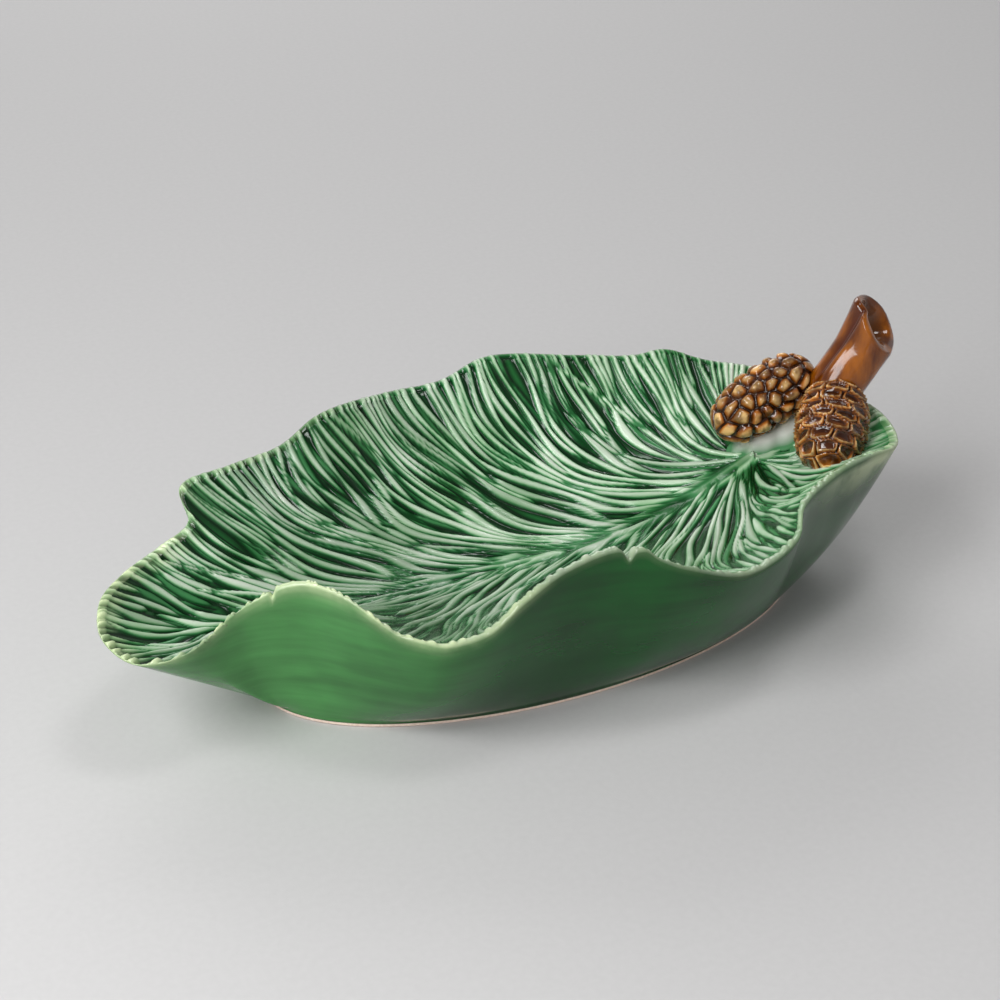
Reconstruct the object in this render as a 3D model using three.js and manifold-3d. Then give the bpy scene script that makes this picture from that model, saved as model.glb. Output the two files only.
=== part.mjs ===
// A glazed earthenware serving platter shaped as a pine bough: a ruffled leaf dish on a bare
// clay foot ring, with two pine cones and a cut branch luted to its stem end.
// Units are millimetres, +Z is up, the tip of the bough points along -X.

import * as THREE from 'three';
import { mergeVertices } from 'three/addons/utils/BufferGeometryUtils.js';
import Module from 'manifold-3d';

const wasm = await Module();
wasm.setup();

// Overall sizes of the dish
const RIM_LENGTH = 388;         // tip of the bough to the stem end, over the rim
const RIM_HALF_WIDTH = 100;     // centre line to the widest ruffle
const CREST_HEIGHT = 93;        // table to the highest ruffle

// Wall and floor
const RIM_THICKNESS = 5;        // across the rounded lip
const LIP_RADIUS = 2.2;         // fall of the lip on each side of its crown
const FLOOR_HEIGHT = 30;        // table to the lowest point of the inside
const FLOOR_THICKNESS = 10;     // under the inside, measured straight down
const WALL_THICKNESS = 10;      // of the outer wall, measured level
const FLOOR_FLAT = 20;          // half length of the level stretch of floor
const BOWL_POWER = 1.9;         // how late the inside turns up from floor to wall
const LOWER_BELLY = { out: 0.29, drop: 0.06 };  // bulge of the outer wall, as shares of its run
const UPPER_BELLY = { out: 0.17, drop: 0.05 };  // and its rise

// Midrib, the line that the needles leave from
const MIDRIB_OFFSET = 10;       // across, toward the far side
const MIDRIB_STRIP = 0.06;      // share of each needle that the strip along the midrib takes
const TIP_FAN = 64;             // from the tip to where the needles fan out
const STEM_FAN = 50;            // from the stem end to where they fan out
const TIP_RISE = 11;            // of the floor, from its middle to the tip fan
const STEM_RISE = 29;           // of the floor, from its middle to the stem fan

// Needles pressed into the inside, from the midrib out to the rim
const NEEDLES = 132;            // round the rim, long and short by turns
const NEEDLE_DEPTH = 2;         // of the grooves between them
const NEEDLE_SLOPE = 0.4;       // most that a groove's depth may be of its width
const NEEDLE_LIP_DEPTH = 0.4;   // share of the depth that is left at the lip
const SHORT_NEEDLE_START = 0.26; // share of the way to the rim at which the short ones begin
const NEEDLE_SWEEP = 100;       // how far nearer to the stem a needle has its root than its end
const SWEEP_FROM_STEM = 0.25;   // share of each side over which the sweep grows, from the stem
const SWEEP_TO_TIP = 0.72;      // share of each side past which it dies out toward the tip
const SWEEP_LEAN = 0.35;        // share of the sweep that is steady, from end to root
const SWEEP_POWER = 2.2;        // how late the rest of the sweep bends in
const longNeedles = Math.ceil(NEEDLES / 2);

// Foot
const FOOT_LENGTH = 270;
const FOOT_WIDTH = 128;
const FOOT_SETBACK = 74;        // from the tip to the foot
const FOOT_FOCUS = 100;         // half length of the line that the wall sections spread from
const FOOT_RING_WIDTH = 8;
const FOOT_RING_HEIGHT = 3;

// Joints
const SEAT_GAP = 0.4;           // clearance between pieces that sit on one another
const SLIP_THICKNESS = 2;       // luting slip under the cones and the branch
const SLIP_MARGIN = 2.5;        // slip squeezed out round each of them
const slipTop = SEAT_GAP + SLIP_THICKNESS;

// Pine cones: the ends of each axis as distance back from the stem end, distance across from
// the midrib and height over the inside of the dish, then the scales' rows and relief
const REAR_CONE = {
  base: [19, 8.5, 14], tip: [70, 12, 14.5], radius: 15.8, rows: 8, around: 10, relief: 3,
};
const FRONT_CONE = {
  base: [13, -6, 14], tip: [43, -42, -3], radius: 17.8, rows: 9, around: 11, relief: 2.6,
};
const CONE_END = 0.01;          // share of the axis left off at the flat of each end
const CONE_BLUNTNESS = 2.3;     // 2 gives an ellipse, more gives blunter ends
const RINGS_PER_ROW = 2;        // mesh rings along each row of scales
const STEPS_PER_SCALE = 4;      // mesh steps round each scale
const SCALE_RUNOUT = 4;         // height over the slip in which the grooves run out

// Cut branch: its path from the stem end of the rim, with the radius at each point
const BRANCH_PATH = [
  [-28, 15, -21], [-26, 15, -6], [-18, 14.5, 8.5], [-3, 13.5, 24], [6, 12, 40.5], [11, 10.5, 58],
];
const BRANCH_RADII = [12, 13.5, 12.8, 11.6, 12.4, 13];
const BRANCH_STEPS_ALONG = 18;
const BRANCH_STEPS_AROUND = 22;
const BRANCH_CUT = { at: [5, 12, 38.5], facing: [0.54, -0.58, 0.6], size: 50 };
const BRANCH_HOLLOW = { radius: 9, depth: 4, around: 28, rows: 18 };

// Mesh steps of the dish
const ROOT_ROWS = 3;            // inside, up to the start of the short needles
const NEEDLE_ROWS = 7;          // inside, from there to the lip
const WALL_STEPS = 5;
const FOOT_STEPS = 20;
const HOLLOW_COLUMNS = 66;
const HOLLOW_MIDDLE = 0.15;     // share of each section that the middle of the hollow takes
const HOLLOW_SHOULDER = 0.5;    // share of the way from there to its edge that its roof is set at
const HOLLOW_EDGE = 0.94;       // how far up the hollow's side its roof meets it
const HOLLOW_WAIST = 0.5;       // how far up that stretch its side is set
const HOLLOW_PASSES = 10;       // of the search for where they meet

// The ruffled rim from the stem end along the near side to the tip, and back along the far side:
// share of the length from the tip, share of the half width, share of the crest height
const RIM_OUTLINE = [
  [1, -0.12, 0.83], [0.977, -0.41, 0.82], [0.912, -0.55, 0.88], [0.848, -0.65, 0.9],
  [0.779, -0.79, 0.87], [0.748, -0.93, 0.81], [0.67, -1.01, 0.755], [0.588, -0.99, 0.87],
  [0.526, -0.905, 0.985], [0.464, -0.87, 0.935], [0.408, -0.875, 0.835], [0.361, -0.87, 0.74],
  [0.313, -0.84, 0.695], [0.259, -0.655, 0.815], [0.202, -0.385, 0.875], [0.143, -0.29, 0.765],
  [0.076, -0.32, 0.63], [0.022, -0.245, 0.59], [0, -0.08, 0.645], [0.014, 0.11, 0.7],
  [0.058, 0.29, 0.705], [0.115, 0.435, 0.705], [0.161, 0.55, 0.73], [0.163, 0.66, 0.85],
  [0.24, 0.81, 0.815], [0.308, 0.84, 0.84], [0.351, 0.845, 0.945], [0.382, 0.86, 0.97],
  [0.464, 0.96, 0.925], [0.534, 0.95, 0.93], [0.598, 0.96, 1], [0.712, 0.87, 0.945],
  [0.779, 0.755, 0.935], [0.815, 0.685, 0.97], [0.856, 0.575, 0.925], [0.912, 0.44, 0.89],
  [0.969, 0.18, 0.86],
];

const rim = new THREE.CatmullRomCurve3(
  RIM_OUTLINE.map(([along, across, rise]) => new THREE.Vector3(
    along * RIM_LENGTH,
    across * RIM_HALF_WIDTH,
    rise * CREST_HEIGHT,
  )),
  true,
);
rim.arcLengthDivisions = 2000;
const stemEnd = rim.getPointAt(0);
const rimShares = Array.from({ length: rim.arcLengthDivisions }, (_, i) => i / rim.arcLengthDivisions);
const tipShare = rimShares.reduce(
  (tip, share) => (rim.getPointAt(share).x < rim.getPointAt(tip).x ? share : tip),
);

// Colours of the glazes and the bare clay
const GREEN_GLAZE = { color: 0x2f7a4a, roughness: 0.15 };
const BROWN_GLAZE = { color: 0x7a4a1e, roughness: 0.18 };
const AMBER_GLAZE = { color: 0x9a5a1c, roughness: 0.15 };
const PALE_GLAZE = { color: 0xc9d6c0, roughness: 0.2 };
const BARE_CLAY = { color: 0xd9b9a2, roughness: 0.8 };

// A value held between two ends, with soft corners.
function softClamp(value, low, high) {
  const middle = (low + high) / 2;
  const half = (high - low) / 2;
  const share = (value - middle) / half;
  return middle + half * share / (1 + share ** 4) ** 0.25;
}

// Height of the floor along the midrib.
function midribHeight(x) {
  const middle = FOOT_SETBACK + FOOT_LENGTH / 2;
  const past = Math.max(0, Math.abs(x - middle) - FLOOR_FLAT);
  const toStem = x > middle;
  const end = toStem ? RIM_LENGTH - STEM_FAN - middle : middle - TIP_FAN;
  return FLOOR_HEIGHT + (toStem ? STEM_RISE : TIP_RISE) * (past / (end - FLOOR_FLAT)) ** 2;
}

// How far toward the stem the needle that ends at a share of the rim has its root.
function sweepAt(share) {
  const side = share < tipShare ? share / tipShare : (1 - share) / (1 - tipShare);
  const grown = THREE.MathUtils.smoothstep(side, 0, SWEEP_FROM_STEM);
  return NEEDLE_SWEEP * grown * (1 - THREE.MathUtils.smoothstep(side, SWEEP_TO_TIP, 1));
}

// Point of the inside on the needle line that ends at a share of the rim, with a reach from 0 at
// the midrib to 1 at the lip.
function bowlPoint(share, reach) {
  const top = rim.getPointAt(share);
  const straight = softClamp(top.x, TIP_FAN, RIM_LENGTH - STEM_FAN);
  const swept = softClamp(top.x + sweepAt(share), TIP_FAN, RIM_LENGTH - STEM_FAN);
  const left = 1 - reach;
  const bend = SWEEP_LEAN * left + (1 - SWEEP_LEAN) * left ** SWEEP_POWER;
  const root = THREE.MathUtils.lerp(straight, swept, bend);
  const out = new THREE.Vector2(top.x - straight, top.y - MIDRIB_OFFSET);
  out.setLength((out.length() - RIM_THICKNESS) * reach);
  const low = midribHeight(root);
  const high = top.z - LIP_RADIUS;
  return new THREE.Vector3(
    root + out.x,
    MIDRIB_OFFSET + out.y,
    low + (high - low) * reach ** BOWL_POWER,
  );
}

// Ridges and grooves, by turns, of needle lines at one reach. The grooves are pressed straight down.
function needleRow(lines, reach, depth) {
  const row = Array.from({ length: lines }, (_, i) => bowlPoint(i / lines, reach));
  const atLip = reach === 1 ? NEEDLE_LIP_DEPTH : 1;
  for (let i = 1; i < lines; i += 2) {
    const width = row[i - 1].distanceTo(row[(i + 1) % lines]);
    row[i].z -= atLip * Math.min(depth, NEEDLE_SLOPE * width);
  }
  return row;
}

// Where the wall section at a share of the rim meets the ellipse of the foot, drawn in by an
// inset, or a part of the way there from the middle line of the foot.
function footPoint(share, inset, height, part = 1) {
  const top = rim.getPointAt(share);
  const centre = FOOT_SETBACK + FOOT_LENGTH / 2;
  const root = softClamp(top.x, centre - FOOT_FOCUS, centre + FOOT_FOCUS);
  const out = new THREE.Vector2(top.x - root, top.y).normalize();
  const long = FOOT_LENGTH / 2 - inset;
  const wide = FOOT_WIDTH / 2 - inset;
  const start = (root - centre) / long;
  const a = (out.x / long) ** 2 + (out.y / wide) ** 2;
  const b = start * out.x / long;
  const c = start ** 2 - 1;
  const reach = part * (Math.sqrt(b * b - a * c) - b) / a;
  return new THREE.Vector3(root + out.x * reach, out.y * reach, height);
}

// Outer wall from the foot to the lip: bellied where the rim is close above the foot, straight
// where it hangs far out over it.
function wallCurve(share) {
  const foot = footPoint(share, 0, FOOT_RING_HEIGHT + SEAT_GAP);
  const top = rim.getPointAt(share);
  top.z -= LIP_RADIUS;
  const overhang = Math.hypot(top.x - foot.x, top.y - foot.y);
  const belly = 1 - THREE.MathUtils.smoothstep(overhang, FOOT_WIDTH / 4, FOOT_WIDTH / 2);
  const at = (out, up) => new THREE.Vector3(
    THREE.MathUtils.lerp(foot.x, top.x, out),
    THREE.MathUtils.lerp(foot.y, top.y, out),
    THREE.MathUtils.lerp(foot.z, top.z, up),
  );
  const low = at(1 / 3 + LOWER_BELLY.out * belly, 1 / 3 - LOWER_BELLY.drop * belly);
  const high = at(2 / 3 + UPPER_BELLY.out * belly, 2 / 3 - UPPER_BELLY.drop * belly);
  return new THREE.CubicBezierCurve3(foot, low, high, top);
}

// Crown of the lip, halfway between its outer and its inner edge.
function crownPoint(share) {
  const outer = rim.getPointAt(share);
  const crown = bowlPoint(share, 1).add(outer).multiplyScalar(0.5);
  crown.z = outer.z;
  return crown;
}

// Faces that close a loop, zipped across it from its first point to the far end.
function capFaces(loop) {
  const faces = [];
  let left = 0;
  let right = loop.length - 1;
  while (right - left > 1) {
    if (loop[left + 1].distanceTo(loop[right]) < loop[right - 1].distanceTo(loop[left])) {
      faces.push([left, left + 1, right]);
      left += 1;
    } else {
      faces.push([left, right - 1, right]);
      right -= 1;
    }
  }
  return faces;
}

// Faces between two loops with as many points, or with twice as many in one as in the other.
function bandFaces(near, far) {
  const faces = [];
  const count = Math.min(near.length, far.length);
  const onNear = (i) => i % near.length;
  const onFar = (i) => near.length + i % far.length;
  for (let i = 0; i < count; i += 1) {
    if (near.length === far.length) {
      faces.push([onNear(i), onNear(i + 1), onFar(i + 1)], [onNear(i), onFar(i + 1), onFar(i)]);
    } else if (near.length < far.length) {
      const half = onFar(2 * i + 1);
      faces.push([onNear(i), half, onFar(2 * i)], [onNear(i), onNear(i + 1), half]);
      faces.push([onNear(i + 1), onFar(2 * i + 2), half]);
    } else {
      const half = onNear(2 * i + 1);
      faces.push([onNear(2 * i), half, onFar(i)], [half, onFar(i + 1), onFar(i)]);
      faces.push([half, onNear(2 * i + 2), onFar(i + 1)]);
    }
  }
  return faces;
}

// Closed solid through loops, each turning about the way on.
function loft(loops) {
  const index = [];
  const add = (first, faces) => faces.forEach((face) => index.push(...face.map((i) => first + i)));
  add(0, capFaces(loops[0]).map(([a, b, c]) => [a, c, b]));
  let first = 0;
  for (let i = 1; i < loops.length; i += 1) {
    add(first, bandFaces(loops[i - 1], loops[i]));
    first += loops[i - 1].length;
  }
  add(first, capFaces(loops.at(-1)));
  const geometry = new THREE.BufferGeometry().setFromPoints(loops.flat());
  geometry.setIndex(index);
  return geometry;
}

function toSolid(geometry) {
  const bare = geometry.clone();
  bare.deleteAttribute('normal');
  bare.deleteAttribute('uv');
  const merged = mergeVertices(bare);
  return new wasm.Manifold(new wasm.Mesh({
    numProp: 3,
    vertProperties: new Float32Array(merged.attributes.position.array),
    triVerts: new Uint32Array(merged.index.array),
  }));
}

function toGeometry(solid) {
  const { vertProperties, triVerts } = solid.getMesh();
  const geometry = new THREE.BufferGeometry();
  geometry.setAttribute('position', new THREE.BufferAttribute(vertProperties, 3));
  geometry.setIndex(new THREE.BufferAttribute(triVerts, 1));
  return geometry;
}

const sharesOf = (count) => Array.from({ length: count }, (_, i) => i / count);

// Loops over the inside from the midrib out to the crown of the lip, with a number of needle lines
// at their roots and twice as many at their ends, and grooves of a depth.
function insideLoops(roots, depth) {
  const ends = 2 * roots;
  const { lerp } = THREE.MathUtils;
  const loops = [];
  for (let row = 0; row < ROOT_ROWS; row += 1) {
    const reach = lerp(MIDRIB_STRIP, SHORT_NEEDLE_START, row / ROOT_ROWS);
    loops.push(needleRow(roots, reach, depth));
  }
  for (let row = 0; row <= NEEDLE_ROWS; row += 1) {
    const reach = lerp(SHORT_NEEDLE_START, 1, row / NEEDLE_ROWS);
    loops.push(needleRow(ends, reach, depth));
  }
  loops.push(sharesOf(ends).map(crownPoint));
  return loops;
}

// Dish before it is hollowed: over the inside and the lip, down the wall and across the foot.
function makeBody() {
  const loops = insideLoops(2 * longNeedles, NEEDLE_DEPTH);
  const walls = sharesOf(2 * longNeedles).map(wallCurve);
  for (let step = WALL_STEPS; step >= 0; step -= 1) {
    loops.push(walls.map((wall) => wall.getPoint(step / WALL_STEPS)));
  }
  return loft(loops);
}

// Block under the ridges of the needles, which carry what sits on the dish: over the inside and
// the lip, and straight down to the table.
function makeRidgeBlock() {
  const loops = insideLoops(longNeedles, 0);
  const edge = sharesOf(2 * longNeedles).map((share) => rim.getPointAt(share));
  loops.push(edge.map((point) => point.clone().setZ(point.z - LIP_RADIUS)));
  loops.push(edge.map((point) => point.clone().setZ(0)));
  return loft(loops);
}

// Foot ring: a flat elliptical band under the wall.
function makeFootRing() {
  const long = FOOT_LENGTH / 2;
  const wide = FOOT_WIDTH / 2;
  const centre = FOOT_SETBACK + long;
  const band = new THREE.Shape();
  band.absellipse(centre, 0, long, wide, 0, 2 * Math.PI);
  const hole = new THREE.Path();
  hole.absellipse(centre, 0, long - FOOT_RING_WIDTH, wide - FOOT_RING_WIDTH, 0, 2 * Math.PI);
  band.holes.push(hole);
  return new THREE.ExtrudeGeometry(band, {
    depth: FOOT_RING_HEIGHT,
    bevelEnabled: false,
    curveSegments: FOOT_STEPS,
  });
}

const ridgeBlock = makeRidgeBlock();
const ridgeMesh = new THREE.Mesh(ridgeBlock);

// Height of the ridges inside the dish over a point of the table, and of the table beside it.
function insideHeight(x, y) {
  const above = new THREE.Vector3(x, y, 2 * CREST_HEIGHT);
  const [hit] = new THREE.Raycaster(above, new THREE.Vector3(0, 0, -1)).intersectObject(ridgeMesh);
  return hit ? hit.point.z : 0;
}

// Point over the inside of the dish, from the stem end and the midrib.
function overDish([back, across, height]) {
  const x = stemEnd.x - back;
  const y = MIDRIB_OFFSET + across;
  return new THREE.Vector3(x, y, insideHeight(x, y) + height);
}

// Hollow that the slip is drained from: under the floor and up inside the wall, open at the foot.
function makeHollow() {
  const loops = [[], [], [], [], []];
  for (let column = 0; column < HOLLOW_COLUMNS; column += 1) {
    const share = column / HOLLOW_COLUMNS;
    const wall = wallCurve(share);
    const middle = footPoint(share, 0, 0, HOLLOW_MIDDLE);
    const inward = footPoint(share, WALL_THICKNESS, 0).sub(footPoint(share, 0, 0));
    const side = (step) => wall.getPoint(step).add(inward);
    const roof = (point) => point.setZ(insideHeight(point.x, point.y) - FLOOR_THICKNESS);
    let low = 0;
    let high = 1;
    for (let pass = 0; pass < HOLLOW_PASSES; pass += 1) {
      const step = (low + high) / 2;
      const point = side(step);
      if (point.z < roof(point.clone()).z) {
        low = step;
      } else {
        high = step;
      }
    }
    const edge = side(HOLLOW_EDGE * low);
    loops[0].push(roof(middle.clone()));
    loops[1].push(roof(middle.lerp(edge, HOLLOW_SHOULDER)));
    loops[2].push(edge);
    loops[3].push(side(HOLLOW_WAIST * low));
    loops[4].push(footPoint(share, FOOT_RING_WIDTH, FOOT_RING_HEIGHT));
  }
  return loft(loops);
}

// Relief of the staggered scales of a cone, from 0 in the grooves to 1 on a scale's middle, at a
// place counted in scales along the cone and round it.
function scaleRelief(along, around) {
  const even = Math.cos(Math.PI * along / 2) * Math.cos(Math.PI * around);
  const odd = Math.sin(Math.PI * along / 2) * Math.sin(Math.PI * around);
  return Math.max(0, 2 * Math.max(Math.abs(even), Math.abs(odd)) - 1);
}

// Egg-shaped cone body swollen by a margin, with its scales if a relief is asked for. The grooves
// between the scales run out just over the slip.
function makeCone(cone, margin, relief) {
  const base = overDish(cone.base);
  const axis = overDish(cone.tip).sub(base);
  const turn = new THREE.Quaternion().setFromUnitVectors(
    new THREE.Vector3(0, 0, 1),
    axis.clone().normalize(),
  );
  const rings = RINGS_PER_ROW * cone.rows;
  const steps = STEPS_PER_SCALE * cone.around;
  const loops = [];
  for (let ring = 0; ring <= rings; ring += 1) {
    const eased = (1 - Math.cos(Math.PI * ring / rings)) / 2;
    const along = THREE.MathUtils.lerp(CONE_END, 1 - CONE_END, eased);
    const swell = Math.sqrt(1 - Math.abs(2 * along - 1) ** CONE_BLUNTNESS);
    const ends = Math.min(1, 2 * swell);
    const loop = [];
    for (let step = 0; step < steps; step += 1) {
      const angle = 2 * Math.PI * step / steps;
      const around = new THREE.Vector3(Math.cos(angle), Math.sin(angle), 0).applyQuaternion(turn);
      const centre = base.clone().addScaledVector(axis, along);
      const outer = centre.addScaledVector(around, cone.radius * swell + margin * ends);
      const height = outer.z - insideHeight(outer.x, outer.y);
      const clear = THREE.MathUtils.smoothstep(height, slipTop, slipTop + SCALE_RUNOUT);
      const scale = scaleRelief(ring / RINGS_PER_ROW, step / STEPS_PER_SCALE);
      loop.push(outer.addScaledVector(around, -relief * ends * clear * (1 - scale)));
    }
    loops.push(loop);
  }
  return toSolid(loft(loops));
}

// Branch swollen by a margin, before its end is cut.
function makeBranch(margin) {
  const path = new THREE.CatmullRomCurve3(
    BRANCH_PATH.map((offset) => new THREE.Vector3(...offset).add(stemEnd)),
  );
  const side = new THREE.Vector3(0, 1, 0);
  const loops = [];
  for (let step = 0; step <= BRANCH_STEPS_ALONG; step += 1) {
    const share = step / BRANCH_STEPS_ALONG;
    const place = share * (BRANCH_RADII.length - 1);
    const low = Math.min(Math.floor(place), BRANCH_RADII.length - 2);
    const ease = THREE.MathUtils.smoothstep(place, low, low + 1);
    const radius = THREE.MathUtils.lerp(BRANCH_RADII[low], BRANCH_RADII[low + 1], ease) + margin;
    const tangent = path.getTangent(share);
    const across = new THREE.Vector3().crossVectors(side, tangent).normalize();
    const up = new THREE.Vector3().crossVectors(tangent, across);
    const loop = [];
    for (let i = 0; i < BRANCH_STEPS_AROUND; i += 1) {
      const angle = 2 * Math.PI * i / BRANCH_STEPS_AROUND;
      loop.push(path.getPoint(share)
        .addScaledVector(across, radius * Math.cos(angle))
        .addScaledVector(up, radius * Math.sin(angle)));
    }
    loops.push(loop);
  }
  return toSolid(loft(loops));
}

// What the saw takes off the end of the branch, with the hollow of its pith.
function makeBranchCut() {
  const facing = new THREE.Vector3(...BRANCH_CUT.facing).normalize();
  const at = new THREE.Vector3(...BRANCH_CUT.at).add(stemEnd);
  const turn = new THREE.Quaternion().setFromUnitVectors(new THREE.Vector3(0, 0, 1), facing);
  const { size } = BRANCH_CUT;
  const block = new THREE.BoxGeometry(size, size, size);
  block.translate(0, 0, size / 2);
  const { radius, depth, around, rows } = BRANCH_HOLLOW;
  const ball = (radius ** 2 + depth ** 2) / (2 * depth);
  const hollow = new THREE.SphereGeometry(ball, around, rows);
  hollow.translate(0, 0, ball - depth);
  const place = (geometry) => {
    geometry.applyQuaternion(turn);
    geometry.translate(at.x, at.y, at.z);
    return toSolid(geometry);
  };
  return place(block).add(place(hollow));
}

const dish = toSolid(makeBody()).subtract(toSolid(makeHollow()));
const ridges = toSolid(ridgeBlock);
const raised = (height) => ridges.translate([0, 0, height]);
const slipLayer = raised(slipTop).subtract(raised(SEAT_GAP));
const seat = ridges.add(raised(slipTop + SEAT_GAP));
const besideSlip = SLIP_MARGIN + SEAT_GAP;

const branch = makeBranch(0).subtract(makeBranchCut()).subtract(seat);
const branchRoom = makeBranch(SEAT_GAP);
const branchSlip = makeBranch(SLIP_MARGIN).intersect(slipLayer);

const rearCone = makeCone(REAR_CONE, 0, REAR_CONE.relief).subtract(seat).subtract(branchRoom);
const rearSlip = makeCone(REAR_CONE, SLIP_MARGIN, 0).intersect(slipLayer)
  .subtract(makeBranch(besideSlip));

const frontCone = makeCone(FRONT_CONE, 0, FRONT_CONE.relief).subtract(seat)
  .subtract(branchRoom)
  .subtract(makeCone(REAR_CONE, SEAT_GAP, 0));
const frontSlip = makeCone(FRONT_CONE, SLIP_MARGIN, 0).intersect(slipLayer)
  .subtract(makeBranch(besideSlip))
  .subtract(makeCone(REAR_CONE, besideSlip, 0));

function piece(name, geometry, glaze) {
  const mesh = new THREE.Mesh(geometry, new THREE.MeshStandardMaterial(glaze));
  mesh.name = name;
  return mesh;
}

const platter = new THREE.Group();
platter.add(
  piece('dish', toGeometry(dish), GREEN_GLAZE),
  piece('foot_ring', makeFootRing(), BARE_CLAY),
  piece('branch_stub', toGeometry(branch), AMBER_GLAZE),
  piece('branch_slip', toGeometry(branchSlip), PALE_GLAZE),
  piece('pine_cone_rear', toGeometry(rearCone), BROWN_GLAZE),
  piece('cone_slip_rear', toGeometry(rearSlip), PALE_GLAZE),
  piece('pine_cone_front', toGeometry(frontCone), BROWN_GLAZE),
  piece('cone_slip_front', toGeometry(frontSlip), PALE_GLAZE),
);

// The part's origin is the middle of its box, on the table.
const box = new THREE.Box3().setFromObject(platter);
const middle = box.getCenter(new THREE.Vector3());
platter.position.set(-middle.x, -middle.y, -box.min.z);

export default platter;
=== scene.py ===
import math

import bpy
import numpy as np
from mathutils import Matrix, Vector
from mathutils.bvhtree import BVHTree
from numpy.linalg import norm


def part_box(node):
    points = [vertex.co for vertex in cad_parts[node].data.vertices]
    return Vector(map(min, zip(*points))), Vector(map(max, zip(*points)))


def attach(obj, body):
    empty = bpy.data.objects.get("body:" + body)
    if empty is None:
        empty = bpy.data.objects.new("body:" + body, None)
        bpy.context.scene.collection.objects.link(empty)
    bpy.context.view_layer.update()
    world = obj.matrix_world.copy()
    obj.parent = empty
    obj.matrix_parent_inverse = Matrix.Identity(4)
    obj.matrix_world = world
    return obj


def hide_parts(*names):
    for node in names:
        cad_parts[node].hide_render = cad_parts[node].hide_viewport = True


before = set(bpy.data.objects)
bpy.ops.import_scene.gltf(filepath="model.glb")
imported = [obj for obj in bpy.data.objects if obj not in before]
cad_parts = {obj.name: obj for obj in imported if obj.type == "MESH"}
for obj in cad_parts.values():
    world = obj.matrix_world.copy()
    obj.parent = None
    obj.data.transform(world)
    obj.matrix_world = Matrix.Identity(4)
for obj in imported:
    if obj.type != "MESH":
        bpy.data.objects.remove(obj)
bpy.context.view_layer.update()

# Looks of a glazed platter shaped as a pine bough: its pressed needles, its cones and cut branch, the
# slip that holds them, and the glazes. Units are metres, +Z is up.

rng = np.random.default_rng(11)

# Dish, with the sizes of its solid
RIM_LENGTH = 0.388
RIM_HALF_WIDTH = 0.1
CREST_HEIGHT = 0.093
RIM_THICKNESS = 0.005
LIP_RADIUS = 0.0022
FLOOR_HEIGHT = 0.03
FLOOR_FLAT = 0.02  # half the level part of the midrib
FLOOR_THICKNESS = 0.01
WALL_THICKNESS = 0.01
BOWL_POWER = 1.9  # 1 gives straight sides, more gives a flatter floor
LOWER_BELLY = (0.29, 0.29, -0.06)  # bulge of the wall, out and up, a third of the way up
UPPER_BELLY = (0.17, 0.17, -0.05)  # and two thirds of the way up
MIDRIB_OFFSET = 0.01
TIP_FAN = 0.064  # from the two ends to the roots of their fans of needles
STEM_FAN = 0.05
TIP_RISE = 0.011  # rise of the midrib to these roots
STEM_RISE = 0.029

# Foot, and the ellipse that the sections of the wall stand on
FOOT_LENGTH = 0.27
FOOT_WIDTH = 0.128
FOOT_SETBACK = 0.074
FOOT_FOCUS = 0.1
FOOT_MIDDLE = FOOT_SETBACK + FOOT_LENGTH / 2
FOOT_RING_WIDTH = 0.008
FOOT_RING_HEIGHT = 0.003
GLAZE_LINE = 0.0021  # height where the glaze was wiped off
GLAZE_LAP = (0.0012, 0.0018)  # how far it turns in there and over the clay ring

# Section of the worn clay ring: distance in from the outline of the foot, height
FOOT_RING_PROFILE = [
    (0.0022, 0.0028), (0.0008, 0.002), (0.0002, 0.0014), (0.0003, 0.0006), (0.0011, 0),
    (0.004, 0), (0.0069, 0), (0.0077, 0.0006), (0.008, 0.0016), (0.0076, 0.0028),
]

# Hollow under the dish: loops up the wall to its roof, and from there to the middle
HOLLOW_SIDE = (0.3, 0.65, 0.94)
HOLLOW_ROOF = (0.8, 0.55, 0.3, 0)
HOLLOW_MIDDLE = 0.15  # size of the last loop, over the foot's

# The ruffled rim from the stem end along the near side to the tip and back along the far side: shares
# of the length from the tip, the half width and the crest height
RIM_OUTLINE = [
    (1, -0.12, 0.83), (0.977, -0.41, 0.82), (0.912, -0.55, 0.88), (0.848, -0.65, 0.9),
    (0.779, -0.79, 0.87), (0.748, -0.93, 0.81), (0.67, -1.01, 0.755), (0.588, -0.99, 0.87),
    (0.526, -0.905, 0.985), (0.464, -0.87, 0.935), (0.408, -0.875, 0.835), (0.361, -0.87, 0.74),
    (0.313, -0.84, 0.695), (0.259, -0.655, 0.815), (0.202, -0.385, 0.875), (0.143, -0.29, 0.765),
    (0.076, -0.32, 0.63), (0.022, -0.245, 0.59), (0, -0.08, 0.645), (0.014, 0.11, 0.7),
    (0.058, 0.29, 0.705), (0.115, 0.435, 0.705), (0.161, 0.55, 0.73), (0.163, 0.66, 0.85),
    (0.24, 0.81, 0.815), (0.308, 0.84, 0.84), (0.351, 0.845, 0.945), (0.382, 0.86, 0.97),
    (0.464, 0.96, 0.925), (0.534, 0.95, 0.93), (0.598, 0.96, 1), (0.712, 0.87, 0.945),
    (0.779, 0.755, 0.935), (0.815, 0.685, 0.97), (0.856, 0.575, 0.925), (0.912, 0.44, 0.89),
    (0.969, 0.18, 0.86),
]

# Lines of the needles, whose roots lie toward the stem, least so at both ends
NEEDLE_SWEEP = 0.1
SWEEP_FROM_STEM = 0.25
SWEEP_TO_TIP = 0.72
SWEEP_LEAN = 0.35
SWEEP_POWER = 2.2
FIRST_NEEDLES = 30  # lines that run nearly to the midrib
NEEDLE_LEVELS = 4  # each level sets new lines halfway between those before
NEEDLE_ROOM = 0.003  # least distance between two lines

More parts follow.
